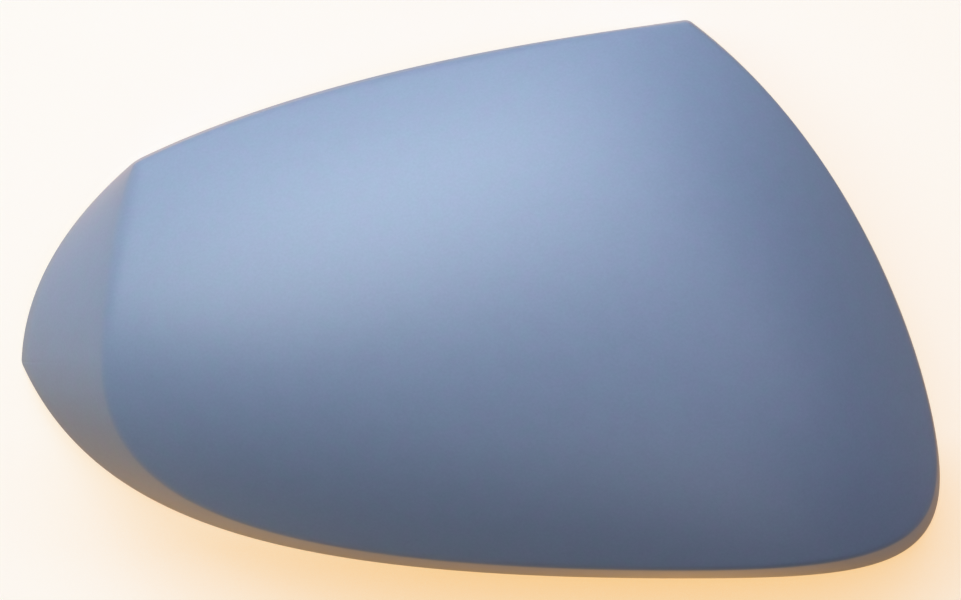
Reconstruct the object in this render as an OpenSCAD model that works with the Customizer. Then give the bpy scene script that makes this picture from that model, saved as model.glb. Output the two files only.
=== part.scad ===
// Wing mirror cover: one moulded shell, lying open side down on its rim.
// X runs from the tip to the inboard edge, Y from the lower edge to the upper
// corner, and Z from the rim to the crown. Directions are in degrees from X.

/* [Outline] */
// Length of the cover, from the tip to the inboard edge
cover_length = 240; // [210:1:280]
// Width of the cover, from the lower edge to the upper corner
cover_width = 146; // [130:1:170]
// Height of the crown point above the rim
cover_depth = 62; // [56:1:72]
// Upper corner, back from the inboard edge
peak_back = 66.5; // [50:0.5:85]
// Shoulder, in from the tip
shoulder_in = 30; // [22:0.5:40]
// Shoulder, down from the upper corner
shoulder_down = 36.5; // [30:0.5:46]
// Tip corner, up from the lower edge
tip_up = 56.5; // [48:0.5:66]
// Lowest point of the lower edge, back from the inboard edge
foot_back = 67.5; // [50:0.5:90]
// Furthest point of the inboard edge, up from the lower edge
side_up = 26.5; // [20:0.5:36]

/* [Edge curves] */
// Direction of the inboard edge as it reaches the upper corner
side_end_dir = 146.5; // [138:0.5:150]
// Direction of the top edge as it leaves the upper corner
top_start_dir = 188; // [184:0.5:192]
// Direction of the top edge as it reaches the shoulder
top_end_dir = 206.5; // [200:0.5:212]
// Direction of the rim as it leaves the shoulder
shoulder_dir = 220; // [214:0.5:230]
// Direction of the rim as it reaches the tip
tip_in_dir = 267.5; // [258:0.5:270]
// Direction of the rim as it leaves the tip
tip_out_dir = 296; // [284:0.5:304]
// Direction of the crease as it leaves the shoulder
crease_dir = 246; // [232:0.5:256]
// Pull of the inboard edge at its two ends, as parts of its chord
side_pull = [0.2, 0.36]; // [0.1:0.01:0.5]
// Pull of the top edge at its two ends
top_pull = [0.2, 0.36]; // [0.1:0.01:0.5]
// Pull of the rim between the shoulder and the tip
tip_pull = [0.41, 0.31]; // [0.1:0.01:0.5]
// Pull of the lower edge at the tip and at its lowest point
low_pull = [0.24, 0.62]; // [0.1:0.01:0.7]
// Pull of the lower inboard corner, along X and then along Y
corner_pull = [0.68, 0.94]; // [0.5:0.01:0.95]
// Pull of the crease between the shoulder and the tip
crease_tip_pull = [0.13, 0.13]; // [0.1:0.01:0.5]
// Pull of the crease below the tip, along Y and then along X
crease_low_pull = [0.7, 0.75]; // [0.5:0.01:0.85]
// Pull of the crease round the inboard corner, along X and then along Y
crease_corner_pull = [0.78, 0.77]; // [0.5:0.01:0.95]

/* [Face] */
// Crown point, in from the tip
crown_in = 124; // [110:1:140]
// Crown point, up from the lower edge
crown_up = 71; // [64:0.5:80]
// Length over which the crown turns from level to falling
crown_blend = 75; // [50:1:90]
// Height at which the face stops falling, in the shoulder and the upper corner
corner_h = 8; // [6:0.5:11]
// Length over which it levels out there
corner_blend = 6; // [3:0.5:8]
// Drop of the face from the crown point to the top edge
top_drop = 47; // [43:0.5:48]
// Drop of the face from the crown point to the inboard edge
side_drop = 42; // [36:0.5:46]
// Drop of the face from the crown point to the lower crease
low_drop = 27; // [22:0.5:34]
// Drop of the face from the crown point to the tip crease
tip_drop = 20; // [15:0.5:26]
// Direction in which the face falls to the top edge
top_fall_dir = 109; // [102:1:116]
// Direction in which the face falls to the inboard edge
side_fall_dir = 19; // [12:1:28]
// Direction in which the face falls to the lower edge
low_fall_dir = 266; // [258:1:274]
// Direction in which the face falls to the tip
tip_fall_dir = 215; // [206:1:222]
// How late the face falls to the top edge
top_fall_power = 1.9; // [1.6:0.05:2.4]
// How late the face falls to the inboard edge
side_fall_power = 4.2; // [3.2:0.05:4.8]
// How late the face falls to the lower edge
low_fall_power = 2.9; // [2.2:0.05:3.6]
// How late the face falls to the tip
tip_fall_power = 2.95; // [2.3:0.05:3.6]

/* [Side band] */
// Width of the band at the tip, seen from above
band_tip_w = 23.5; // [18:0.5:30]
// Width of the band along the lower edge, seen from above
band_low_w = 5; // [3:0.1:7]
// Width of the band where the inboard edge begins, seen from above
band_side_w = 3.2; // [2:0.1:4.5]
// How far the crease's end lies above the furthest point of the inboard edge
band_side_shift = 4.5; // [0:0.5:8]
// Width of the turned down edge along the top and inboard sides
edge_w = 1.6; // [1:0.1:2.2]
// Roundness of the band between its crease and the rim
band_bulge = 0.01; // [0:0.01:0.15]

/* [Wall and rim] */
// Thickness of the moulded wall
wall = 2.5; // [1.8:0.1:3]
// Height of the arch in the rim under the top edge
top_arch = 6; // [0:0.5:8]
// Height of the arch in the rim under the inboard edge
side_arch = 4; // [0:0.5:7]
// Height of the arch in the rim that starts at the tip and runs under the lower edge
low_arch = 7; // [4:0.5:9]
// Height of the arch in the rim that starts at the tip and runs up to the shoulder
tip_arch = 4; // [2:0.5:6]

/* [Ribs] */
// Thickness of the stiffening ribs
rib_t = 1.8; // [1.2:0.1:2.4]
// Height of the stiffening ribs below the wall
rib_h = 5; // [3:0.5:9]
// Length of the long rib, from the crown point towards the tip
long_rib_tip = 76; // [60:1:84]
// Length of the long rib, from the crown point towards the inboard edge
long_rib_side = 78; // [60:1:86]
// Length of the cross ribs, from the long rib towards the top edge
cross_rib_up = 37; // [20:1:42]
// Length of the cross ribs, from the long rib towards the lower edge
cross_rib_down = 35; // [20:1:42]

/* [Locating pins] */
// Diameter of the locating pins
pin_d = 5; // [3:0.5:6]
// Length of the locating pins
pin_l = 9; // [6:0.5:14]
// Height of the lead-in on the pins' free ends
pin_lead = 1; // [0.5:0.1:1.4]
// Diameter of the bosses that carry the pins
boss_d = 9; // [7.5:0.5:11]
// Height of the pins' free ends above the rim
pin_end_h = 14; // [6:0.5:20]
// Distance of the outer pin from the crown point, towards the tip
tip_pin_x = 48; // [38:0.5:58]
// Distance of the inner pin from the crown point, towards the inboard edge
side_pin_x = 38; // [26:0.5:46]

/* [Clips] */
// Width of the snap clips
clip_w = 9; // [6:0.5:12]
// Thickness of the snap clips
clip_t = 2; // [1.4:0.1:2.6]
// Distance of the clips from the rim, seen from above
clip_inset = 9; // [7:0.5:12]
// Height of the clips' free ends above the rim
clip_end_h = 5; // [2:0.5:9]
// How far the hook stands out from the clip
hook_out = 1.6; // [0.8:0.1:2.4]
// Height of the hook
hook_h = 4; // [2.5:0.5:6]

/* [Hidden] */
primer = "#7886a2";
round_steps = 64;

// Number of points along each of the five rim curves, from the inboard edge round
curve_steps = [20, 22, 14, 24, 16];
face_rings = 14;
band_rings = 4;
ring_easing = 1.25;
rib_steps = 12;
// Least height that the inner wall keeps above the rim
rim_land = 0.4;
// Part of the wall's depth that stays above the roots of ribs, bosses and clips
root_cover = 0.55;
// Length by which one round step reaches into the next
step_lap = 1;
// Part of a curve over which its direction is measured, each way
nudge = 0.01;

// Clip places: the rim curve, and how far along it
clip_places = [[0, 0.5], [1, 0.22], [1, 0.74], [3, 0.38], [3, 0.78]];

// Plan positions, with the origin in the middle of the cover's box
tip_x = -cover_length / 2;
side_x = cover_length / 2;
low_y = -cover_width / 2;
peak = [side_x - peak_back, cover_width / 2];
shoulder = [tip_x + shoulder_in, cover_width / 2 - shoulder_down];
tip = [tip_x, low_y + tip_up];
foot = [side_x - foot_back, low_y];
side = [side_x, low_y + side_up];
crown = [tip_x + crown_in, low_y + crown_up];

up_dir = 90;
level_dir = 360;
down_dir = 270;

function heading(a) = [cos(a), sin(a)];
function mix(a, b, t) = a + (b - a) * t;
function inward(dir_a, dir_b, w) = w * heading((dir_a + dir_b) / 2 + 90);

// Corners of the crease, in from the corners of the rim
peak_crease = peak + inward(side_end_dir, top_start_dir, edge_w);
shoulder_crease = shoulder + inward(top_end_dir, shoulder_dir, edge_w);
tip_crease = tip + [band_tip_w, 0];
foot_crease = foot + [0, band_low_w];
side_crease = side + [-band_side_w, band_side_shift];

// Curve between two points, leaving and arriving in the given directions
function curve(a, dir_a, b, dir_b, pulls) =
    let (chord = norm(b - a))
    [a, a + chord * pulls[0] * heading(dir_a), b - chord * pulls[1] * heading(dir_b), b];

// Quarter turn between two points whose ends run along the axes
function quarter(a, leave_a, b, arrive_b) = [a, a + leave_a, b - arrive_b, b];

rim_curves = [
    curve(side, up_dir, peak, side_end_dir, side_pull),
    curve(peak, top_start_dir, shoulder, top_end_dir, top_pull),
    curve(shoulder, shoulder_dir, tip, tip_in_dir, tip_pull),
    curve(tip, tip_out_dir, foot, level_dir, low_pull),
    quarter(foot, [(side - foot).x * corner_pull[0], 0], side, [0, (side - foot).y * corner_pull[1]])
];

tip_to_foot = foot_crease - tip_crease;
foot_to_side = side_crease - foot_crease;
crease_curves = [
    curve(side_crease, up_dir, peak_crease, side_end_dir, side_pull),
    curve(peak_crease, top_start_dir, shoulder_crease, top_end_dir, top_pull),
    curve(shoulder_crease, crease_dir, tip_crease, down_dir, crease_tip_pull),
    quarter(tip_crease, [0, tip_to_foot.y * crease_low_pull[0]],
            foot_crease, [tip_to_foot.x * crease_low_pull[1], 0]),
    quarter(foot_crease, [foot_to_side.x * crease_corner_pull[0], 0],
            side_crease, [0, foot_to_side.y * crease_corner_pull[1]])
];

function curve_at(c, t) =
    pow(1 - t, 3) * c[0] + 3 * pow(1 - t, 2) * t * c[1] + 3 * (1 - t) * t * t * c[2] + pow(t, 3) * c[3];
function along_curves(curves) =
    [for (c = [0:len(curves) - 1]) for (i = [0:curve_steps[c] - 1]) curve_at(curves[c], i / curve_steps[c])];

rim = along_curves(rim_curves);
crease = along_curves(crease_curves);
around = len(rim);

// Face height: the crown's height less what each side has fallen by, level in the corners
function soft(d, blend) = (d + sqrt(d * d + blend * blend)) / 2;
function gone(p, dir) = soft((p - crown) * heading(dir), crown_blend);
function side_fall(p, end, dir, drop, power) =
    drop * (pow(gone(p, dir), power) - pow(gone(crown, dir), power)) / pow(gone(end, dir), power);

middle = 0.5;
top_middle = curve_at(crease_curves[1], middle);
side_middle = curve_at(crease_curves[0], middle);
function fallen(p) =
    side_fall(p, top_middle, top_fall_dir, top_drop, top_fall_power)
    + side_fall(p, side_middle, side_fall_dir, side_drop, side_fall_power)
    + side_fall(p, foot_crease, low_fall_dir, low_drop, low_fall_power)
    + side_fall(p, tip_crease, tip_fall_dir, tip_drop, tip_fall_power);
function face_h(p) = corner_h + soft(cover_depth - fallen(p) - corner_h, corner_blend);

// Steepness of the face in one direction
probe = 0.5;
function slope(p, v) = (face_h(p + probe * v) - face_h(p - probe * v)) / (2 * probe);

// The rim leaves the tip both ways in the plane of the band there, so that the band has no ridge
tip_ruling = [tip.x - tip_crease.x, tip.y - tip_crease.y, -face_h(tip_crease)];
band_square = cross(tip_ruling, [0, -1, -slope(tip_crease, [0, 1])]);
function climb(pull_point) =
    let (leave = 3 * (pull_point - tip))
    -(band_square.x * leave.x + band_square.y * leave.y) / band_square.z;
up_climb = climb(rim_curves[2][2]);
low_climb = climb(rim_curves[3][1]);

// Height of the rim along each curve: two arches that start at the tip, and two plain ones
function tip_rise(t, start, arch) = arch * (1 - exp(-t * start / arch)) * pow(1 - t * t, 2);
function rim_rise(c, t) =
    c == 0 ? side_arch * pow(sin(180 * t), 2) :
    c == 1 ? top_arch * pow(sin(180 * t), 2) :
    c == 2 ? tip_rise(1 - t, up_climb, tip_arch) :
    c == 3 ? tip_rise(t, low_climb, low_arch) : 0;
rim_h = [for (c = [0:len(curve_steps) - 1]) for (i = [0:curve_steps[c] - 1]) rim_rise(c, i / curve_steps[c])];

// Outer skin: rings from the crown out to the crease, then down the band to the rim
function face_point(i, k) =
    let (t = 1 - pow(1 - k / face_rings, ring_easing), p = mix(crown, crease[i], t))
    [p.x, p.y, face_h(p)];
function band_point(i, s) =
    let (
        top = [crease[i].x, crease[i].y, face_h(crease[i])],
        foot_3d = [rim[i].x, rim[i].y, rim_h[i]],
        fullness = middle + band_bulge,
        swell = [mix(top.x, foot_3d.x, fullness), mix(top.y, foot_3d.y, fullness), mix(foot_3d.z, top.z, fullness)]
    )
    pow(1 - s, 2) * top + 2 * (1 - s) * s * swell + s * s * foot_3d;

crown_top = [crown.x, crown.y, face_h(crown)];
outer = concat(
    [for (k = [1:face_rings]) [for (i = [0:around - 1]) face_point(i, k)]],
    [for (k = [1:band_rings]) [for (i = [0:around - 1]) band_point(i, k / band_rings)]]
);
rings = len(outer);

// Inner skin: the outer one moved in by the wall, square to the surface
function after(i) = (i + 1) % around;
function before(i) = (i + around - 1) % around;
function unit(v) = v / norm(v);
function outward(k, i) =
    let (
        nearer = k == 0 ? crown_top : outer[k - 1][i],
        further = outer[min(k + 1, rings - 1)][i]
    )
    unit(cross(further - nearer, outer[k][after(i)] - outer[k][before(i)]));
function inner_point(k, i) =
    let (p = outer[k][i] - wall * outward(k, i))
    [p.x, p.y, max(p.z, rim_h[i] + rim_land)];
function inner_rim(i) =
    let (run = unit(rim[after(i)] - rim[before(i)]))
    [rim[i].x - wall * run.y, rim[i].y + wall * run.x, rim_h[i]];

inner = concat(
    [for (k = [0:rings - 2]) [for (i = [0:around - 1]) inner_point(k, i)]],
    [[for (i = [0:around - 1]) inner_rim(i)]]
);
crown_under = crown_top - [0, 0, wall];

function flat(rows) = [for (row = rows) for (p = row) p];
function at(layer, k, i) = 2 + (layer * rings + k) * around + i;

module shell() {
    outer_faces = [for (k = [0:rings - 2]) for (i = [0:around - 1])
        for (face = [
            [at(0, k, i), at(0, k, after(i)), at(0, k + 1, after(i))],
            [at(0, k, i), at(0, k + 1, after(i)), at(0, k + 1, i)]
        ]) face];
    inner_faces = [for (k = [0:rings - 2]) for (i = [0:around - 1])
        for (face = [
            [at(1, k, i), at(1, k + 1, after(i)), at(1, k, after(i))],
            [at(1, k, i), at(1, k + 1, i), at(1, k + 1, after(i))]
        ]) face];
    crown_faces = [for (i = [0:around - 1]) for (face = [
        [0, at(0, 0, after(i)), at(0, 0, i)],
        [1, at(1, 0, i), at(1, 0, after(i))]
    ]) face];
    rim_faces = [for (i = [0:around - 1]) for (face = [
        [at(0, rings - 1, i), at(0, rings - 1, after(i)), at(1, rings - 1, after(i))],
        [at(0, rings - 1, i), at(1, rings - 1, after(i)), at(1, rings - 1, i)]
    ]) face];
    polyhedron(
        points = concat([crown_top, crown_under], flat(outer), flat(inner)),
        faces = concat(crown_faces, outer_faces, inner_faces, rim_faces)
    );
}

// Upright depth of the wall, and the heights of its roots and of its underside
function wall_depth(p) = wall * sqrt(1 + pow(slope(p, [1, 0]), 2) + pow(slope(p, [0, 1]), 2));
function root_h(p) = face_h(p) - root_cover * wall_depth(p);
function under_h(p) = face_h(p) - wall_depth(p);

// Upright plate from one plan point to another, with its profile drawn along it
module upright(from, dir, thickness) {
    translate([from.x, from.y, 0])
        rotate([0, 0, dir])
            rotate([90, 0, 0])
                translate([0, 0, -thickness / 2])
                    linear_extrude(thickness)
                        children();
}

// Rib under the face, as deep as rib_h and fading out at both ends
module rib(from, to) {
    run = to - from;
    function place(j) = from + run * j / rib_steps;
    function depth(j) = rib_h * sqrt(sin(180 * j / rib_steps));
    upright(from, atan2(run.y, run.x), rib_t)
        polygon(concat(
            [for (j = [0:rib_steps]) [norm(run) * j / rib_steps, root_h(place(j))]],
            [for (j = [rib_steps:-1:0]) [norm(run) * j / rib_steps, under_h(place(j)) - depth(j)]]
        ));
}

// Everything below the plane that touches the roots at one plan point
module below_roots(p) {
    fall = [slope(p, [1, 0]), slope(p, [0, 1])];
    translate([p.x, p.y, root_h(p)])
        rotate([0, atan(norm(fall)), atan2(-fall.y, -fall.x)])
            translate([-cover_depth, -cover_depth, -2 * cover_depth])
                cube(2 * cover_depth);
}

// Boss with a locating pin on its end, which has a tapered lead-in
module locating_pin(p) {
    boss_base = pin_end_h + pin_l;
    intersection() {
        translate([p.x, p.y, boss_base])
            cylinder(h = cover_depth, d = boss_d, $fn = round_steps);
        below_roots(p);
    }
    translate([p.x, p.y, pin_end_h + pin_lead])
        cylinder(h = pin_l - pin_lead + step_lap, d = pin_d, $fn = round_steps);
    translate([p.x, p.y, pin_end_h])
        cylinder(h = pin_lead, d1 = pin_d - pin_lead, d2 = pin_d, $fn = round_steps);
}

// Snap clip: a blade that hangs from the face, with a hook towards the rim
module clip(curve_no, t) {
    c = rim_curves[curve_no];
    run = unit(curve_at(c, t + nudge) - curve_at(c, t - nudge));
    inwards = [-run.y, run.x];
    front = curve_at(c, t) + clip_inset * inwards;
    back = front + clip_t * inwards;
    lead_in = hook_out / 2;
    upright(front, atan2(inwards.y, inwards.x), clip_w)
        polygon([
            [0, root_h(front)], [clip_t, root_h(back)], [clip_t, clip_end_h], [-lead_in, clip_end_h],
            [-hook_out, clip_end_h + lead_in], [-hook_out, clip_end_h + hook_h - lead_in],
            [0, clip_end_h + hook_h]
        ]);
}

tip_pin = crown - [tip_pin_x, 0];
side_pin = crown + [side_pin_x, 0];
pins = [tip_pin, side_pin];

module mirror_cover() {
    color(primer) union() {
        shell();
        rib(crown - [long_rib_tip, 0], crown + [long_rib_side, 0]);
        for (p = pins) rib(p - [0, cross_rib_down], p + [0, cross_rib_up]);
        for (p = pins) locating_pin(p);
        for (place = clip_places) clip(place[0], place[1]);
    }
}

mirror_cover();
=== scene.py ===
# Cover of a door mirror in satin blue-grey primer, lying open side down on a pale table.
# The cover's own lengths are millimetres, which mm turns into metres. Those of the materials, the table,
# the lamps and the camera are metres. Angles are degrees.
from math import cos, exp, pi, radians, sin, sqrt, tan
import bpy
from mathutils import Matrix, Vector


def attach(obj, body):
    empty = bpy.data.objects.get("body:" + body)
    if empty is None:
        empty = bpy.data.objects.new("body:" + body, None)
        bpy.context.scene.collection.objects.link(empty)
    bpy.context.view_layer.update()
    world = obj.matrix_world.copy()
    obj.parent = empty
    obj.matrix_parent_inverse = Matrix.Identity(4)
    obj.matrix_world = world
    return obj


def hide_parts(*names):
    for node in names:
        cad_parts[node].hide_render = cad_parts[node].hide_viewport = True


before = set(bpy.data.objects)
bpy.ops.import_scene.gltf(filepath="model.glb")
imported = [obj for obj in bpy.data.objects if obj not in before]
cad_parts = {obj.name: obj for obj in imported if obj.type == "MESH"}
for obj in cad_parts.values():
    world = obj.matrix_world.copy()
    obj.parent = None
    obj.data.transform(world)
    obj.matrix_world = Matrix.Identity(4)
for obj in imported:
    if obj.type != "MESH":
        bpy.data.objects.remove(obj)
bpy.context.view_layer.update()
mm = 0.001
up = Vector((0, 0, 1))


def deselectAll():
    if bpy.context.object and bpy.context.object.mode != "OBJECT":
        bpy.ops.object.mode_set(mode="OBJECT")
    bpy.ops.object.select_all(action="DESELECT")


def selectOnly(piece):
    deselectAll()
    piece.select_set(True)
    bpy.context.view_layer.objects.active = piece


# Applies place and turn, so that the piece's own axes are the row's
def settle(piece):
    selectOnly(piece)
    bpy.ops.object.transform_apply(location=True, rotation=True, scale=True)


# Corners and curves of the cover seen from above, within a millimetre of the construction's
print("plan curves")
plan = {
    "length": 240, "width": 146, "peakBack": 65.75, "shoulderIn": 30, "shoulderDown": 36.75,
    "tipUp": 56.5, "footBack": 67.5, "sideUp": 26.5,
    "sideEnd": 143.5, "topStart": 188.4, "topEnd": 206, "shoulderStart": 220, "tipEnd": 267.5,
    "lowStart": 296, "creaseStart": 246,
    "sidePull": (0.16, 0.42), "topPull": (0.2, 0.36), "tipPull": (0.41, 0.31), "lowPull": (0.24, 0.62),
    "cornerPull": (0.68, 0.94), "creaseTipPull": (0.13, 0.13), "creaseLowPull": (0.7, 0.75),
    "creaseCornerPull": (0.78, 0.77),
    "edgeWidth": 1.6, "sideEdge": 0.45,
    "bandTip": 23.5, "bandLow": 4.2, "bandSide": 2.9, "bandSideShift": 4.2,
    "cornerRun": {0: 1.3, 1: 2.0, 2: 0.8},
    "steps": (48, 54, 40, 72, 48), "cornerSteps": 4,
}


def flat(x, y):
    return Vector((x, y, 0))


def heading(angle):
    return flat(cos(radians(angle)), sin(radians(angle)))


def between(a, b, t):
    return a + (b - a) * t


def curve(a, leave, b, arrive, pulls):
    chord = (b - a).length
    return a, a + heading(leave) * chord * pulls[0], b - heading(arrive) * chord * pulls[1], b


def quarter(a, leave, b, arrive):
    return a, a + leave, b - arrive, b


def curvePoint(c, t):
    s = 1 - t
    return c[0] * s ** 3 + c[1] * 3 * s * s * t + c[2] * 3 * s * t * t + c[3] * t ** 3


def rounded(a, corner, b, s):
    return a * (1 - s) ** 2 + corner * 2 * (1 - s) * s + b * s * s


halfLength, halfWidth = plan["length"] / 2, plan["width"] / 2
peak = flat(halfLength - plan["peakBack"], halfWidth)
shoulder = flat(plan["shoulderIn"] - halfLength, halfWidth - plan["shoulderDown"])
tip = flat(-halfLength, plan["tipUp"] - halfWidth)
foot = flat(halfLength - plan["footBack"], -halfWidth)
side = flat(halfLength, plan["sideUp"] - halfWidth)
upDir, levelDir, downDir = 90, 360, 270

# Five curves: 0 up the inboard side, 1 along the top, 2 down to the tip, 3 along the bottom, 4 the corner
rimCurves = (
    curve(side, upDir, peak, plan["sideEnd"], plan["sidePull"]),
    curve(peak, plan["topStart"], shoulder, plan["topEnd"], plan["topPull"]),
    curve(shoulder, plan["shoulderStart"], tip, plan["tipEnd"], plan["tipPull"]),
    curve(tip, plan["lowStart"], foot, levelDir, plan["lowPull"]),
    quarter(foot, flat((side - foot).x * plan["cornerPull"][0], 0),
            side, flat(0, (side - foot).y * plan["cornerPull"][1])),
)

peakCrease = peak + heading((plan["sideEnd"] + plan["topStart"]) / 2 + 90) * plan["edgeWidth"]
peakCrease += heading(plan["topStart"]) * plan["sideEdge"]
shoulderCrease = shoulder + heading((plan["topEnd"] + plan["shoulderStart"]) / 2 + 90) * plan["edgeWidth"]
tipCrease = tip + flat(plan["bandTip"], 0)
footCrease = foot + flat(0, plan["bandLow"])
sideCrease = side + flat(-plan["bandSide"], plan["bandSideShift"])
tipToFoot, footToSide = footCrease - tipCrease, sideCrease - footCrease
creaseCurves = (
    curve(sideCrease, upDir, peakCrease, plan["sideEnd"], plan["sidePull"]),
    curve(peakCrease, plan["topStart"], shoulderCrease, plan["topEnd"], plan["topPull"]),
    curve(shoulderCrease, plan["creaseStart"], tipCrease, downDir, plan["creaseTipPull"]),
    quarter(tipCrease, flat(0, tipToFoot.y * plan["creaseLowPull"][0]),
            footCrease, flat(tipToFoot.x * plan["creaseLowPull"][1], 0)),
    quarter(footCrease, flat(footToSide.x * plan["creaseCornerPull"][0], 0),
            sideCrease, flat(0, footToSide.y * plan["creaseCornerPull"][1])),
)


# How far along a curve the rounding of its first or last corner reaches
def cornerPart(c, atEnd):
    corner = c if atEnd else c - 1
    if corner not in plan["cornerRun"]:
        return 0
    a, b = (rimCurves[c][3], rimCurves[c][2]) if atEnd else (rimCurves[c][0], rimCurves[c][1])
    return plan["cornerRun"][corner] / (3 * (a - b).length)


# Places round the outline: curve number and part of the way along it, closer in the corners
places = []
for c, steps in enumerate(plan["steps"]):
    first, last = cornerPart(c, False), cornerPart(c, True)
    near = plan["cornerSteps"]
    places += [(c, first * i / near) for i in range(near)] if first else []
    places += [(c, first + (1 - first - last) * i / steps) for i in range(steps)]
    places += [(c, 1 - last + last * i / near) for i in range(near)] if last else []


def planPoint(curves, c, t):
    first, last = cornerPart(c, False), cornerPart(c, True)
    if first and t < first:
        before = curves[c - 1]
        return rounded(curvePoint(before, 1 - cornerPart(c - 1, True)), curves[c][0],
                       curvePoint(curves[c], first), 0.5 + 0.5 * t / first)
    if last and t > 1 - last:
        after = curves[c + 1]
        return rounded(curvePoint(curves[c], 1 - last), curves[c][3],
                       curvePoint(after, cornerPart(c + 1, False)), 0.5 * (t - 1 + last) / last)
    return curvePoint(curves[c], t)


# Crowned face: the crown's height less what each side has fallen by
face = {
    "depth": 62, "crown": flat(4, -2), "crownBlend": 75, "cornerHeight": 8, "cornerBlend": 6,
    "top": {"drop": 47, "fall": 109, "power": 1.9}, "side": {"drop": 42, "fall": 19, "power": 4.2},
    "low": {"drop": 27, "fall": 266, "power": 2.9}, "tip": {"drop": 20, "fall": 215, "power": 2.95},
    "topArch": 6, "sideArch": 4, "lowArch": 7, "tipArch": 4, "probe": 0.5,
}
crown = face["crown"]
sides = (("top", curvePoint(creaseCurves[1], 0.5)), ("side", curvePoint(creaseCurves[0], 0.5)),
         ("low", footCrease), ("tip", tipCrease))


def softened(d, blend):
    return (d + sqrt(d * d + blend * blend)) / 2


def gone(p, angle):
    away = flat(p.x, p.y) - crown
    return softened(away.dot(heading(angle)), face["crownBlend"])


def faceHeight(p):
    height = face["depth"]
    for name, end in sides:
        fall = face[name]
        start = gone(crown, fall["fall"]) ** fall["power"]
        height -= (fall["drop"] * (gone(p, fall["fall"]) ** fall["power"] - start)
                   / gone(end, fall["fall"]) ** fall["power"])
    return face["cornerHeight"] + softened(height - face["cornerHeight"], face["cornerBlend"])


def onFace(p):
    return Vector((p.x, p.y, faceHeight(p)))


def steepness(p):
    step = face["probe"]
    across, along = flat(step, 0), flat(0, step)
    return flat((faceHeight(p + across) - faceHeight(p - across)) / (2 * step),
                (faceHeight(p + along) - faceHeight(p - along)) / (2 * step))


def faceNormal(p):
    return (up - steepness(p)).normalized()


# The rim arches a little off the table between its corners, and leaves the tip in the band's plane
ruling = tip - onFace(tipCrease)
bandSquare = ruling.cross(Vector((0, -1, -steepness(tipCrease).y)))


def tipRise(t, pull, arch):
    leaving = (pull - tip) * 3
    climb = -(bandSquare.x * leaving.x + bandSquare.y * leaving.y) / bandSquare.z
    return arch * (1 - exp(-t * climb / arch)) * (1 - t * t) ** 2


def rimHeight(c, t):
    if c == 0:
        return face["sideArch"] * sin(pi * t) ** 2
    if c == 1:
        return face["topArch"] * sin(pi * t) ** 2
    if c == 2:
        return tipRise(1 - t, rimCurves[2][2], face["tipArch"])
    if c == 3:
        return tipRise(t, rimCurves[3][1], face["lowArch"])
    return 0


# Shell: sections from the crown over the crease and the rim and back under the face
print("shell")
shell = {
    "wall": 2.5, "crispCrease": 1.5, "softCrease": 1.8, "softPower": 0.6, "rimRound": 0.35,
    "bandBulge": 0.01, "faceRings": 38, "bandRings": 8, "roundSteps": 4, "easing": 1.25, "seam": 0.002,
    "overspray": 9, "thinCoat": 0.25, "bareEdgeAndShadeReach": 1.0, "smoothAngle": 35,
}
rim = [planPoint(rimCurves, c, t) + up * rimHeight(c, t) for c, t in places]
crease = [onFace(planPoint(creaseCurves, c, t)) for c, t in places]
around = len(places)


def creaseRound(c, t):
    return shell["crispCrease"] + (shell["softCrease"] * sin(pi * t ** shell["softPower"]) if c == 2 else 0)


def section(i):
    c, t = places[i]
    ahead, behind = (i + 1) % around, i - 1
    wall, reach = shell["wall"], creaseRound(c, t)
    top, low = crease[i], rim[i]
    toCrown = (crown - flat(top.x, top.y)).normalized()
    run = (flat(rim[ahead].x, rim[ahead].y) - flat(rim[behind].x, rim[behind].y)).normalized()
    inwards = flat(-run.y, run.x)
    down = (low - top).normalized()
    rings = [1 - (1 - k / shell["faceRings"]) ** shell["easing"] for k in range(shell["faceRings"] + 1)]
    turns = [k / shell["roundSteps"] for k in range(1, shell["roundSteps"] + 1)]

    # Outer skin
    faceEnd = flat(top.x, top.y) + toCrown * reach
    points = [onFace(between(crown, faceEnd, part)) for part in rings]
    bandStart = top + down * reach
    points += [rounded(points[-1], top, bandStart, s) for s in turns]
    turn = min(shell["rimRound"], (low - bandStart).length / 3)
    bandEnd = low - down * turn
    swell = between(bandStart, bandEnd, 0.5) + up * (bandStart.z - bandEnd.z) * shell["bandBulge"]
    points += [rounded(bandStart, swell, bandEnd, k / shell["bandRings"])
               for k in range(1, shell["bandRings"] + 1)]
    points += [rounded(bandEnd, low, low + inwards * turn, s) for s in turns]
    outer = len(points)

    # Inner skin, from the rim back to below the crown
    innerRim = low + inwards * wall
    crossing = crease[ahead] - crease[behind]
    bandNormal = down.cross(crossing).normalized()
    if bandNormal.dot(inwards) > 0:
        bandNormal.negate()
    normal = faceNormal(top)
    half = tan(normal.angle(bandNormal) / 2)
    innerEnd = flat(top.x, top.y) + toCrown * wall * half / sqrt(1 + steepness(top).dot(toCrown) ** 2)
    below = [between(crown, innerEnd, part) for part in rings]
    under = [onFace(p) - faceNormal(p) * wall for p in below]
    innerTurn = min(shell["rimRound"], (under[-1] - innerRim).length / 3)
    rise = (under[-1] - innerRim).normalized()
    innerStart = innerRim + rise * innerTurn
    points += [rounded(innerRim - inwards * innerTurn, innerRim, innerStart, s) for s in [0] + turns]
    points += [between(innerStart, under[-1], k / shell["bandRings"]) for k in range(1, shell["bandRings"])]
    points += under[::-1]
    return points, outer


# A grid with one vertex for each point of the rows, laid onto them
def gridOnto(name, rows):
    deselectAll()
    bpy.ops.mesh.primitive_grid_add(x_subdivisions=len(rows[0]) - 1, y_subdivisions=len(rows) - 1, size=1)
    piece = bpy.context.object
    piece.name = name
    points = [p for row in rows for p in row]
    for vertex, point in zip(piece.data.vertices, points):
        vertex.co = point * mm
    return piece


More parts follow.
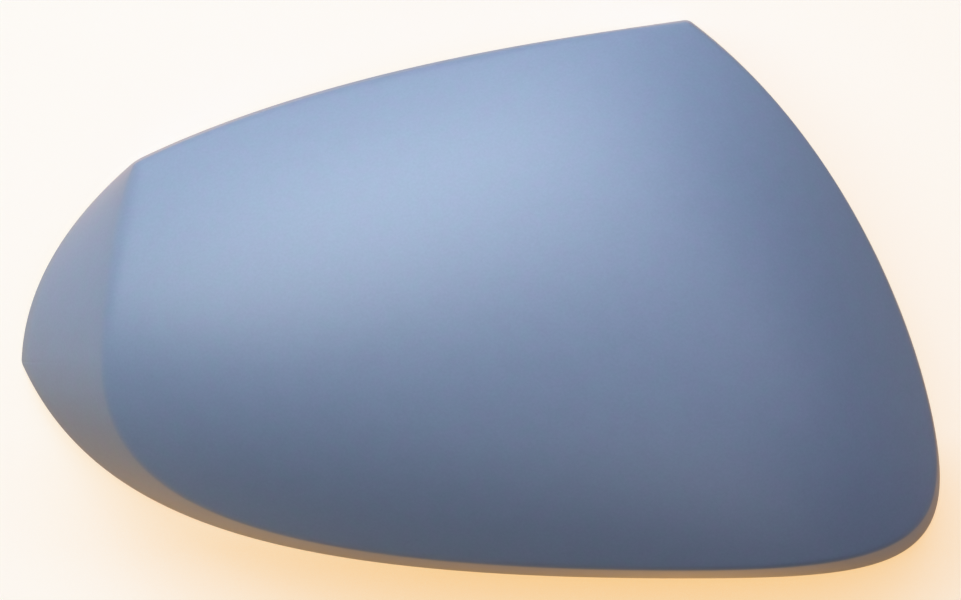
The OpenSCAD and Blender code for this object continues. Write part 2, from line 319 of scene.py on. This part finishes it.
def selectWhere(piece, test, kind="VERT"):
    bpy.ops.mesh.select_mode(type=kind)
    bpy.ops.mesh.select_all(action="DESELECT")
    bpy.ops.object.mode_set(mode="OBJECT")
    parts = {"VERT": piece.data.vertices, "EDGE": piece.data.edges, "FACE": piece.data.polygons}[kind]
    for part in parts:
        corners = [part.co] if kind == "VERT" else [piece.data.vertices[v].co for v in part.vertices]
        part.select = all(test(co / mm) for co in corners)
    bpy.ops.object.mode_set(mode="EDIT")


def mergeAndTurnOut(piece, distance):
    selectOnly(piece)
    bpy.ops.object.mode_set(mode="EDIT")
    bpy.ops.mesh.select_all(action="SELECT")
    bpy.ops.mesh.remove_doubles(threshold=distance * mm)
    bpy.ops.mesh.fill_holes(sides=0)
    bpy.ops.mesh.normals_make_consistent(inside=False)
    bpy.ops.object.mode_set(mode="OBJECT")


sections = [section(i) for i in range(around)]
outerCount = sections[0][1]
rows = [points for points, outer in sections]
rows.append(rows[0])
cover = gridOnto("mirrorCover", rows)

# How thick the primer lies, and how near the rim is, for the material; the rim mark is bare plastic at the
# cut edge and inside, and painted shade along the outer rim
coat = cover.data.attributes.new("coat", "FLOAT", "POINT")
bareEdgeAndShade = cover.data.attributes.new("bareEdgeAndShade", "FLOAT", "POINT")
perRow = len(rows[0])
for index, vertex in enumerate(cover.data.vertices):
    row, k = divmod(index, perRow)
    point = rows[row][k]
    low = rim[row % around]
    away = (point - low).length
    if k < outerCount:
        coat.data[index].value = 1
        # Painted shade with the bare cut edge: the outer skin turns browner close to the rim
        bareEdgeAndShade.data[index].value = max(0, 1 - away / shell["bareEdgeAndShadeReach"])
    else:
        spray = min(1, max(0, 1 - (away - shell["wall"]) / shell["overspray"]))
        coat.data[index].value = shell["thinCoat"] + (1 - shell["thinCoat"]) * spray
        bareEdgeAndShade.data[index].value = 1
mergeAndTurnOut(cover, shell["seam"])

# The band is drawn smooth across the tip's corner
tipSpot = {"inwards": 20, "aside": 7, "offRim": 3.5, "factor": 0.5, "repeats": 10}
bpy.ops.object.mode_set(mode="EDIT")
selectWhere(cover, lambda co: co.x < tip.x + tipSpot["inwards"] and abs(co.y - tip.y) < tipSpot["aside"]
            and min((co - p).length for p in rim) > tipSpot["offRim"])
bpy.ops.mesh.vertices_smooth(factor=tipSpot["factor"], repeat=tipSpot["repeats"])
bpy.ops.object.mode_set(mode="OBJECT")


# Height of the shell's underside over a place in the plan
def underside(p):
    return faceHeight(p) - shell["wall"] * sqrt(1 + steepness(p).length_squared)


# Stiffening ribs that fade into the wall at both ends
print("ribs")
rib = {
    "half": 0.9, "depth": 5, "steps": 60, "fillet": 1.0, "filletPart": 0.5, "tipRound": 0.5, "tipPart": 0.4,
    "turns": (0, 0.33, 0.67, 1), "buried": 1.1, "endPart": 0.4,
    "longTip": 76, "longSide": 78, "crossUp": 37, "crossDown": 35, "pinPlaces": (-48, 38),
}


def ribSection(p, across, depth):
    fillet = max(0, min(rib["fillet"], depth * rib["filletPart"]))
    tipRound = max(0, min(rib["tipRound"], depth * rib["tipPart"]))
    half, buried = rib["half"], rib["buried"]
    # Distance sideways and depth below the wall, from the tip of the rib outwards and up
    halfSection = [(0, depth)]
    halfSection += [(half - tipRound * (1 - sin(pi / 2 * s)), depth - tipRound * (1 - cos(pi / 2 * s)))
                    for s in rib["turns"]]
    halfSection += [(half + fillet * (1 - cos(pi / 2 * s)), fillet * (1 - sin(pi / 2 * s)))
                    for s in rib["turns"]]
    halfSection.append((half + fillet, -buried))
    loop = [(-a, d) for a, d in halfSection[::-1]] + halfSection[1:]
    points = []
    for sideways, below in loop:
        place = p + across * sideways
        points.append(Vector((place.x, place.y, underside(place) - min(below, depth))))
    return points + points[:1]


def addRib(name, start, end):
    run = end - start
    across = flat(-run.y, run.x).normalized()
    sunk = rib["buried"] * rib["endPart"]
    rows = []
    for j in range(rib["steps"] + 1):
        part = j / rib["steps"]
        depth = (rib["depth"] + sunk) * sqrt(sin(pi * part)) - sunk
        rows.append(ribSection(start + run * part, across, depth))
    piece = gridOnto(name, rows)
    mergeAndTurnOut(piece, shell["seam"])
    return piece


pinSpots = [crown + flat(x, 0) for x in rib["pinPlaces"]]
inside = [addRib("longRib", crown - flat(rib["longTip"], 0), crown + flat(rib["longSide"], 0))]
for n, spot in enumerate(pinSpots):
    low, high = spot - flat(0, rib["crossDown"]), spot + flat(0, rib["crossUp"])
    inside.append(addRib(f"crossRib{n + 1}", low, high))

# Bosses with locating pins, drawn up from the pin's free end to the wall
print("locating pins")
pin = {
    "radius": 2.5, "length": 9, "lead": 1, "endHeight": 14, "boss": 4.5, "edge": 0.3, "fillet": 0.9,
    "rootSteps": 4, "buried": 1.1, "sides": 48, "lifted": 100,
}


def addPin(name, spot):
    end, base = pin["endHeight"], pin["endHeight"] + pin["length"]
    profile = [
        (pin["radius"], end + pin["lead"]), (pin["radius"], base - pin["edge"]),
        (pin["radius"] + pin["edge"], base), (pin["boss"] - pin["edge"], base),
        (pin["boss"], base + pin["edge"]),
    ]
    turns = [k / pin["rootSteps"] for k in range(pin["rootSteps"] + 1)]
    root = [(pin["boss"] + pin["fillet"] * (1 - cos(pi / 2 * s)), pin["fillet"] * (1 - sin(pi / 2 * s)))
            for s in turns]
    root.append((root[-1][0], -pin["buried"]))
    # The root's rings are made high above and then let down onto the wall
    profile += [(radius, pin["lifted"] + k) for k, (radius, below) in enumerate(root)]
    deselectAll()
    radius, height = pin["radius"] - pin["lead"] / 2, end
    bpy.ops.mesh.primitive_circle_add(vertices=pin["sides"], radius=radius * mm, fill_type="NGON",
                                      location=(spot + up * height) * mm)
    piece = bpy.context.object
    piece.name = name
    bpy.ops.object.mode_set(mode="EDIT")
    bpy.ops.mesh.select_all(action="SELECT")
    for nextRadius, nextHeight in profile:
        lift = (0, 0, (nextHeight - height) * mm)
        bpy.ops.mesh.extrude_region_move(TRANSFORM_OT_translate={"value": lift})
        scale = nextRadius / radius
        bpy.ops.transform.resize(value=(scale, scale, 1), center_override=(spot + up * nextHeight) * mm)
        radius, height = nextRadius, nextHeight
    bpy.ops.object.mode_set(mode="OBJECT")
    settle(piece)
    for vertex in piece.data.vertices:
        ring = round(vertex.co.z / mm - pin["lifted"])
        if ring >= 0:
            vertex.co.z = (underside(vertex.co / mm) - root[ring][1]) * mm
    mergeAndTurnOut(piece, shell["seam"])
    return piece


inside += [addPin(f"locatingPin{n + 1}", spot) for n, spot in enumerate(pinSpots)]

# Snap clips: one blade with its hook, copied to five places along the rim
print("clips")
clip = {
    "width": 9, "thickness": 2, "inset": 9, "endHeight": 5, "hookOut": 1.6, "hookHeight": 4,
    "bladeHeight": 30, "edge": 0.25, "edgeSteps": 2, "edgeAngle": 40, "buried": 1.1,
    "places": ((0, 0.5), (1, 0.22), (1, 0.74), (3, 0.38), (3, 0.78)), "probe": 0.01, "touch": 0.01,
}
deselectAll()
hookTop, touch = clip["endHeight"] + clip["hookHeight"], clip["touch"]
bladeMiddle = clip["endHeight"] + clip["bladeHeight"] / 2
bpy.ops.mesh.primitive_cube_add(size=1, location=Vector((clip["thickness"] / 2, 0, bladeMiddle)) * mm,
                                scale=Vector((clip["thickness"], clip["width"], clip["bladeHeight"])) * mm)
blade = bpy.context.object
blade.name = "clip"
settle(blade)
bpy.ops.object.mode_set(mode="EDIT")
bpy.ops.mesh.select_all(action="SELECT")
bpy.ops.mesh.bisect(plane_co=up * hookTop * mm, plane_no=up)
selectWhere(blade, lambda co: co.x < touch and co.z < hookTop + touch, "FACE")
bpy.ops.mesh.extrude_region_move(TRANSFORM_OT_translate={"value": (-clip["hookOut"] * mm, 0, 0)})
lead = clip["hookOut"] / 2
selectWhere(blade, lambda co: co.x < touch - clip["hookOut"] and co.z > hookTop - touch)
bpy.ops.transform.translate(value=(0, 0, -lead * mm))
selectWhere(blade, lambda co: co.x < touch - clip["hookOut"] and co.z < clip["endHeight"] + touch, "EDGE")
bpy.ops.mesh.bevel(offset=lead * mm, segments=1)
bpy.ops.object.mode_set(mode="OBJECT")
bpy.ops.object.modifier_add(type="BEVEL")
edges = blade.modifiers[-1]
edges.width, edges.segments = clip["edge"] * mm, clip["edgeSteps"]
edges.limit_method, edges.angle_limit = "ANGLE", radians(clip["edgeAngle"])
bpy.ops.object.modifier_apply(modifier=edges.name)

for n, (c, t) in enumerate(clip["places"]):
    ahead, behind = t + clip["probe"], t - clip["probe"]
    run = (curvePoint(rimCurves[c], ahead) - curvePoint(rimCurves[c], behind)).normalized()
    inwards = flat(-run.y, run.x)
    selectOnly(blade)
    bpy.ops.object.duplicate()
    copy = bpy.context.object
    copy.name = f"clip{n + 1}"
    copy.location = (curvePoint(rimCurves[c], t) + inwards * clip["inset"]) * mm
    copy.rotation_euler.z = -flat(1, 0).xy.angle_signed(inwards.xy)
    settle(copy)
    for vertex in copy.data.vertices:
        if vertex.co.z > bladeMiddle * mm:
            vertex.co.z = (underside(vertex.co / mm) + clip["buried"]) * mm
    inside.append(copy)
bpy.data.objects.remove(blade)

# All of it is one moulding
print("one moulding")
selectOnly(cover)
for piece in inside:
    piece.select_set(True)
bpy.ops.object.join()
bpy.ops.object.shade_smooth_by_angle(angle=radians(shell["smoothAngle"]))
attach(cover, "root")
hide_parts("mirror_cover")

# Fine grain of sprayed primer: colour, roughness and height
print("materials")
mixSlots = {"share": 0, "first": 6, "second": 7, "result": 2}


def newGroup(name, inputs, outputs):
    group = bpy.data.node_groups.new(name, "ShaderNodeTree")
    for label, kind in inputs:
        group.interface.new_socket(label, in_out="INPUT", socket_type=kind)
    for label, kind in outputs:
        group.interface.new_socket(label, in_out="OUTPUT", socket_type=kind)
    return group, group.nodes.new("NodeGroupInput"), group.nodes.new("NodeGroupOutput")


def addNode(tree, kind, **values):
    node = tree.nodes.new(kind)
    for key, value in values.items():
        setattr(node, key, value)
    return node


# Another node's output is linked to its socket, and a value is set on the socket itself
def feed(tree, node, sources):
    for slot, source in sources.items():
        if isinstance(source, bpy.types.NodeSocket):
            tree.links.new(source, node.inputs[slot])
        else:
            node.inputs[slot].default_value = source


def mapRange(tree, source, fromLow, fromHigh, toLow, toHigh):
    node = addNode(tree, "ShaderNodeMapRange")
    feed(tree, node, {
        "Value": source, "From Min": fromLow, "From Max": fromHigh, "To Min": toLow, "To Max": toHigh,
    })
    return node.outputs["Result"]


def mathNode(tree, operation, a, b):
    node = addNode(tree, "ShaderNodeMath", operation=operation)
    feed(tree, node, {0: a, 1: b})
    return node.outputs["Value"]


def mixColours(tree, share, first, second):
    node = addNode(tree, "ShaderNodeMix", data_type="RGBA")
    feed(tree, node, {mixSlots["share"]: share, mixSlots["first"]: first, mixSlots["second"]: second})
    return node.outputs[mixSlots["result"]]


def mixShaders(tree, share, first, second):
    node = addNode(tree, "ShaderNodeMixShader")
    feed(tree, node, {0: share, 1: first, 2: second})
    return node.outputs["Shader"]


def noise(tree, vector, look):
    node = addNode(tree, "ShaderNodeTexNoise")
    feed(tree, node, {"Vector": vector, **look})
    return node.outputs["Fac"]


grainLook = {
    "speckle": {"Scale": 1500, "Detail": 2}, "mottle": {"Scale": 160, "Detail": 4, "Roughness": 0.6},
    "hue": {"Scale": 230, "Detail": 3, "Roughness": 0.6}, "peel": {"Scale": 420, "Detail": 2},
    "lilac": (1.09, 0.93, 1.03, 1), "blue": (0.91, 1.07, 0.98, 1),
    "middle": 0.5, "roughSwing": 0.05, "speckleHeight": 0.4,
}
grain, grainIn, grainOut = newGroup(
    "sprayGrain",
    [("Vector", "NodeSocketVector"), ("Color", "NodeSocketColor"), ("Roughness", "NodeSocketFloat"),
     ("Speckle", "NodeSocketFloat"), ("Mottle", "NodeSocketFloat")],
    [("Color", "NodeSocketColor"), ("Roughness", "NodeSocketFloat"), ("Height", "NodeSocketFloat")])
speckle, mottle, hue, peel = (noise(grain, grainIn.outputs["Vector"], grainLook[name])
                              for name in ("speckle", "mottle", "hue", "peel"))


# A noise about its middle, made weaker or stronger
def swing(source, strength):
    return mathNode(grain, "MULTIPLY", mathNode(grain, "SUBTRACT", source, grainLook["middle"]), strength)


lighter = mathNode(grain, "ADD", swing(speckle, grainIn.outputs["Speckle"]),
                   swing(mottle, grainIn.outputs["Mottle"]))
tone = addNode(grain, "ShaderNodeVectorMath", operation="SCALE")
feed(grain, tone, {0: grainIn.outputs["Color"], "Scale": mathNode(grain, "ADD", lighter, 1)})
tinted = addNode(grain, "ShaderNodeVectorMath", operation="MULTIPLY")
feed(grain, tinted, {
    0: tone.outputs["Vector"], 1: mixColours(grain, hue, grainLook["lilac"], grainLook["blue"]),
})
rough = mathNode(grain, "ADD", grainIn.outputs["Roughness"], swing(mottle, grainLook["roughSwing"]))
grit = mathNode(grain, "MULTIPLY", speckle, grainLook["speckleHeight"])
feed(grain, grainOut, {
    "Color": tinted.outputs["Vector"], "Roughness": rough, "Height": mathNode(grain, "ADD", grit, peel),
})

primer = {
    "full": (0.19, 0.245, 0.37, 1), "thin": (0.13, 0.165, 0.25, 1), "bareEdgeAndShadeTone": (0.25, 0.24, 0.27, 1),
    "bareEdgeAndShadeFrom": 0.2, "bareEdgeAndShadeTo": 0.9, "bareEdgeAndShadeShare": 0.6, "roughness": 0.49, "specular": 0.8,
    "speckle": 0.16, "mottle": 0.09, "bump": 0.06, "bumpReach": 0.0002,
}
paint = bpy.data.materials.new("primer")
paint.use_nodes = True
tree = paint.node_tree
where = addNode(tree, "ShaderNodeTexCoord")
coatMask = addNode(tree, "ShaderNodeAttribute", attribute_name="coat")
bareEdgeAndShadeMask = addNode(tree, "ShaderNodeAttribute", attribute_name="bareEdgeAndShade")
coated = mixColours(tree, coatMask.outputs["Fac"], primer["thin"], primer["full"])
# Browner tone near the rim: bare plastic at the cut edge and inside, and painted shade along the outer rim
bareEdgeAndShadeShare = mapRange(tree, bareEdgeAndShadeMask.outputs["Fac"], primer["bareEdgeAndShadeFrom"], primer["bareEdgeAndShadeTo"], 0, primer["bareEdgeAndShadeShare"])
spray = addNode(tree, "ShaderNodeGroup", node_tree=grain)
feed(tree, spray, {
    "Vector": where.outputs["Object"], "Color": mixColours(tree, bareEdgeAndShadeShare, coated, primer["bareEdgeAndShadeTone"]),
    "Roughness": primer["roughness"], "Speckle": primer["speckle"], "Mottle": primer["mottle"],
})
bump = addNode(tree, "ShaderNodeBump")
feed(tree, bump, {
    "Strength": primer["bump"], "Distance": primer["bumpReach"], "Height": spray.outputs["Height"],
})
feed(tree, tree.nodes["Principled BSDF"], {
    "Base Color": spray.outputs["Color"], "Roughness": spray.outputs["Roughness"],
    "Specular IOR Level": primer["specular"], "Normal": bump.outputs["Normal"],
})
cover.data.materials.clear()
cover.data.materials.append(paint)

# Pale table just below the rim: bright and warm, and its shade takes away the cool share only
print("table and lights")
table = {
    "size": 3, "gap": 0.00005, "roughness": 0.8, "specular": 0.2, "blotches": {"Scale": 14, "Detail": 4},
    "bounce": (0.8, 0.79, 0.77, 1), "bounceLow": (0.776, 0.7663, 0.7469, 1),
    "cool": (0.035, 0.18, 0.32, 1), "warm": (0.95, 0.765, 0.56, 1), "paintedShadow": (0.93, 0.55, 0.17, 1),
    "nearGloss": (1.8, 0.92, 0.22, 1), "farGloss": (0.55, 0.3, 0.03, 1),
    "contact": 0.04, "aoSamples": 6, "aoNear": 0.5, "aoFar": 0.95, "paintedShadowFrom": -0.035, "paintedShadowTo": -0.065,
    "leftFrom": -0.12, "leftTo": -0.03, "left": 1.95, "swellFrom": 0.01, "swellTo": 0.05, "swell": 1.35,
    "fadeFrom": 0.06, "fadeTo": 0.1, "faded": 0.64, "highFrom": -0.02, "highTo": 0.03, "high": 0.7,
}
deselectAll()
bpy.ops.mesh.primitive_plane_add(size=table["size"], location=(0, 0, -table["gap"]))
floor = bpy.context.object
floor.name = "table"
sheet = bpy.data.materials.new("paleTable")
sheet.use_nodes = True
tree = sheet.node_tree
paper = tree.nodes["Principled BSDF"]
where = addNode(tree, "ShaderNodeTexCoord")
seen = addNode(tree, "ShaderNodeLightPath")
blotches = noise(tree, where.outputs["Object"], table["blotches"])
feed(tree, paper, {
    "Base Color": mixColours(tree, blotches, table["bounce"], table["bounceLow"]),
    "Roughness": table["roughness"], "Specular IOR Level": table["specular"],
})
lit = addNode(tree, "ShaderNodeBsdfDiffuse")
feed(tree, lit, {"Color": table["cool"]})

# Close to the rim, below the cover, the table gets a painted warm shadow for the camera, and the cover's
# gloss gets a painted reflection of the table, brighter near the rim
contact = addNode(tree, "ShaderNodeAmbientOcclusion", samples=table["aoSamples"])
feed(tree, contact, {"Distance": table["contact"]})
near = mapRange(tree, contact.outputs["AO"], table["aoNear"], table["aoFar"], 1, 0)
place = addNode(tree, "ShaderNodeSeparateXYZ")
feed(tree, place, {"Vector": where.outputs["Object"]})
across, along = place.outputs["X"], place.outputs["Y"]
# Painted warm shadow: only below the cover's lower edge, and only near the rim
paintedShadowSide = mapRange(tree, along, table["paintedShadowFrom"], table["paintedShadowTo"], 0, 1)
paintedShadowShare = mathNode(tree, "MULTIPLY", near, paintedShadowSide)
warm = addNode(tree, "ShaderNodeEmission")
feed(tree, warm, {"Color": mixColours(tree, paintedShadowShare, table["warm"], table["paintedShadow"])})

# Painted reflection: how strong the table shows in the cover's gloss, set by place from the tip across to
# the inboard side and up to the top edge
share = mapRange(tree, across, table["leftFrom"], table["leftTo"], table["left"], 1)
for part in (mapRange(tree, across, table["swellFrom"], table["swellTo"], 1, table["swell"]),
             mapRange(tree, across, table["fadeFrom"], table["fadeTo"], 1, table["faded"]),
             mapRange(tree, along, table["highFrom"], table["highTo"], 1, table["high"])):
    share = mathNode(tree, "MULTIPLY", share, part)
# Painted reflection: the table as only the cover's gloss sees it, warmer and brighter near the rim
mirrored = addNode(tree, "ShaderNodeEmission")
feed(tree, mirrored, {
    "Color": mixColours(tree, near, table["farGloss"], table["nearGloss"]), "Strength": share,
})
# Camera rays see the lit table with its painted warm shadow, gloss rays the painted reflection, other rays
# the plain paper
toCamera = seen.outputs["Is Camera Ray"]
ownLight = mixShaders(tree, toCamera, mirrored.outputs["Emission"], warm.outputs["Emission"])
bright = addNode(tree, "ShaderNodeAddShader")
feed(tree, bright, {0: lit.outputs["BSDF"], 1: ownLight})
direct = mathNode(tree, "MAXIMUM", toCamera, seen.outputs["Is Glossy Ray"])
whole = mixShaders(tree, direct, paper.outputs["BSDF"], bright.outputs["Shader"])
feed(tree, tree.nodes["Material Output"], {"Surface": whole})
floor.data.materials.append(sheet)

# Wide window light from the top and the upper left, and weak light from the other sides
lamps = {
    "lowWindow": {"turn": 112, "height": 27, "away": 1.5, "size": 0.6, "light": (0.303, 0.349, 0.36)},
    "window": {"turn": 95, "height": 45, "away": 1.5, "size": 1.4, "light": (0.46, 0.51, 0.59)},
    "sideWindow": {"turn": 147, "height": 42, "away": 1.5, "size": 1.2, "light": (0.545, 0.58, 0.55)},
    "wall": {"turn": 20, "height": 50, "away": 1.5, "size": 1.0, "light": (0.1, 0.088, 0.105)},
    "room": {"turn": 290, "height": 50, "away": 1.5, "size": 1.0, "light": (0.116, 0.115, 0.125)},
}
for name, lamp in lamps.items():
    turn, height = radians(lamp["turn"]), radians(lamp["height"])
    spot = Vector((cos(height) * cos(turn), cos(height) * sin(turn), sin(height))) * lamp["away"]
    bpy.ops.object.light_add(type="AREA", location=spot)
    light = bpy.context.object
    light.name = name
    light.rotation_euler = spot.to_track_quat("Z", "Y").to_euler()
    light.data.shape = "DISK"
    light.data.size = lamp["size"]
    # Power that gives this light, over pi, on a surface square to the lamp
    brightest = max(lamp["light"])
    light.data.energy = brightest * pi * pi * lamp["away"] ** 2
    light.data.color = [v / brightest for v in lamp["light"]]
sky = {"color": (1, 0.9, 0.8, 1), "strength": 0.01}
world = bpy.data.worlds.new("room")
world.use_nodes = True
backdrop = world.node_tree.nodes["Background"]
feed(world.node_tree, backdrop, {"Color": sky["color"], "Strength": sky["strength"]})
bpy.context.scene.world = world

# Camera straight above, with the lens that fills the photo's frame
view = {"height": 1.5, "drop": 0.00026, "pixel": 0.0002612, "wide": 961}
bpy.ops.object.camera_add(location=(0, -view["drop"], view["height"]), rotation=(0, 0, 0))
camera = bpy.context.object
camera.data.lens = camera.data.sensor_width * view["height"] / (view["wide"] * view["pixel"])
bpy.context.scene.camera = camera
bpy.context.scene.view_settings.view_transform = "Standard"
